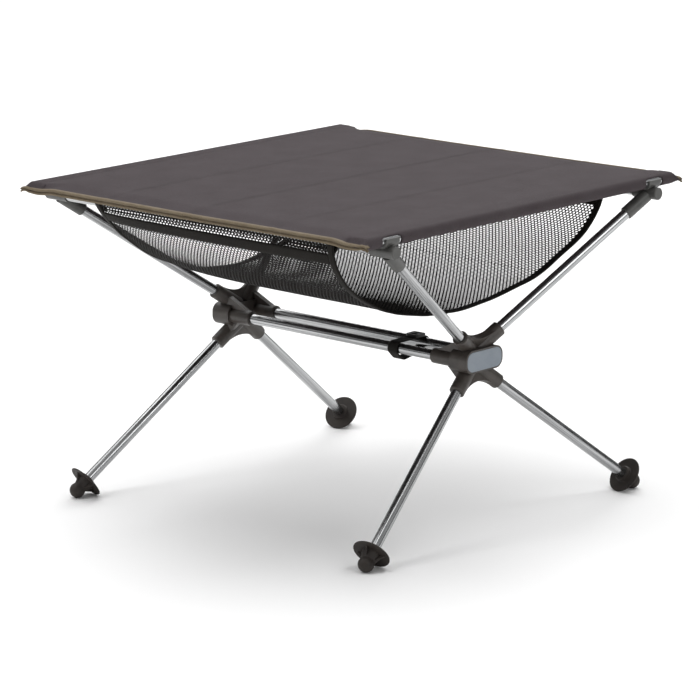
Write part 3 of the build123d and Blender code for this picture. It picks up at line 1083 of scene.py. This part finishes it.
ROOM_SHADES = (  # the room's brightness from straight below to straight above
    (0.0, 0.55), (0.08, 0.10), (0.22, 0.10), (0.30, 0.75), (0.55, 0.75), (0.62, 0.30), (0.85, 0.55),
)
SOFTBOXES = (  # name, place, width and power in watts
    ("key_light", (-1.2, -2.4, 2.6), 1.2, 26),
    ("side_light", (3.0, -0.4, 1.5), 1.2, 14),
    ("back_light", (-1.8, 2.6, 2.0), 1.6, 20),
)


@dataclass
class Studio:
    """A pale floor, soft lights and the camera."""

    eye: Point = (2.9472, -3.1206, 1.1832)
    right: Point = (0.72802, 0.68547, -0.01116)
    up: Point = (-0.14757, 0.17259, 0.97388)
    lens: float = 182.6
    sensor: float = 36.0
    sight: float = 100.0
    floor_half: float = 14.0
    floor_tone: float = 0.94
    floor_vary: float = 0.03
    floor_patch: float = 0.4
    backdrop: float = 0.95
    room_light: float = 0.72
    overhead: float = 2.5
    overhead_from: Point = (-0.25, 0.35, 1.0)
    overhead_spread: float = 75.0
    aim_at: Point = (0, 0, 0.25)

    def camera(self) -> None:
        """Make the camera."""
        data = bpy.data.cameras.new("camera")
        data.lens = self.lens
        data.sensor_width = self.sensor
        data.clip_end = self.sight
        seat = bpy.data.objects.new("camera", data)
        right, up = Vector(self.right).normalized(), Vector(self.up).normalized()
        back = right.cross(up).normalized()
        turn = Matrix((right, back.cross(right), back)).transposed().to_4x4()
        seat.matrix_world = Matrix.Translation(self.eye) @ turn
        bpy.context.scene.collection.objects.link(seat)
        bpy.context.scene.camera = seat

    def floor(self) -> None:
        """Make the floor."""
        bm = bmesh.new()
        bmesh.ops.create_grid(bm, x_segments=4, y_segments=4, size=self.floor_half)
        mesh = bpy.data.meshes.new("floor")
        bm.to_mesh(mesh)
        bm.free()
        floor = bpy.data.objects.new("floor", mesh)
        bpy.context.scene.collection.objects.link(floor)
        recipe = Recipe("floor_paint")
        dark, light = (self.floor_tone,) * 3, (self.floor_tone + self.floor_vary,) * 3
        grain = recipe.cloud(recipe.place("Object"), self.floor_patch, 2)
        recipe.set(Base_Color=recipe.mix(grain, dark, light), Roughness=0.8)
        coat(floor, recipe.material)

    def softbox(self, name: str, place: Point, size: float, power: float) -> None:
        """Hang a square soft light that faces the table.

        Args:
            name: The light's name.
            place: Where it hangs.
            size: Its width.
            power: Its power in watts.
        """
        data = bpy.data.lights.new(name, "AREA")
        data.energy = power
        data.size = size
        box = bpy.data.objects.new(name, data)
        aim = Vector(self.aim_at) - Vector(place)
        turn = aim.to_track_quat("-Z", "Y").to_matrix().to_4x4()
        box.matrix_world = Matrix.Translation(place) @ turn
        bpy.context.scene.collection.objects.link(box)

    def overhead_light(self) -> None:
        """Light the floor and the table evenly from above with a very wide source."""
        data = bpy.data.lights.new("overhead", "SUN")
        data.energy = self.overhead
        data.angle = math.radians(self.overhead_spread)
        lamp = bpy.data.objects.new("overhead", data)
        turn = Vector(self.overhead_from).to_track_quat("Z", "Y")
        lamp.matrix_world = turn.to_matrix().to_4x4()
        bpy.context.scene.collection.objects.link(lamp)

    def surroundings(self) -> None:
        """Light the table from a pale room with a few darker screens in it."""
        world = bpy.data.worlds.new("room")
        bpy.context.scene.world = world
        world.use_nodes = True
        tree = world.node_tree
        tree.nodes.clear()
        place = tree.nodes.new("ShaderNodeTexCoord")
        split = tree.nodes.new("ShaderNodeSeparateXYZ")
        tree.links.new(place.outputs["Generated"], split.inputs[0])
        ramp = tree.nodes.new("ShaderNodeValToRGB")
        while len(ramp.color_ramp.elements) < len(ROOM_SHADES):
            ramp.color_ramp.elements.new(0.5)
        for element, (position, shade) in zip(ramp.color_ramp.elements, ROOM_SHADES):
            element.position = position
            element.color = (shade, shade, shade, 1)
        tree.links.new(split.outputs["Z"], ramp.inputs[0])
        glow = tree.nodes.new("ShaderNodeBackground")
        tree.links.new(ramp.outputs[0], glow.inputs[0])
        glow.inputs[1].default_value = self.room_light
        plain = tree.nodes.new("ShaderNodeBackground")
        plain.inputs[0].default_value = (*(self.backdrop,) * 3, 1)
        path = tree.nodes.new("ShaderNodeLightPath")
        mixed = tree.nodes.new("ShaderNodeMixShader")
        tree.links.new(path.outputs["Is Camera Ray"], mixed.inputs[0])
        tree.links.new(glow.outputs[0], mixed.inputs[1])
        tree.links.new(plain.outputs[0], mixed.inputs[2])
        output = tree.nodes.new("ShaderNodeOutputWorld")
        tree.links.new(mixed.outputs[0], output.inputs[0])

    def build(self) -> None:
        """Set the whole studio up."""
        bpy.context.scene.view_settings.view_transform = "Standard"
        self.camera()
        self.floor()
        self.surroundings()
        self.overhead_light()
        for light in SOFTBOXES:
            self.softbox(*light)


def main() -> None:
    """Build the table's looks."""
    logging.basicConfig(level=logging.INFO, format="%(name)s: %(message)s")
    Studio().build()
    HardParts().build()
    top = ClothTop()
    top.build()
    top.stitching()
    for side in Side:
        top.binding(side)
    NetShelf().build()
    KeeperStrap().build()
    ShockCords().build()


if __name__ == "__main__":
    main()
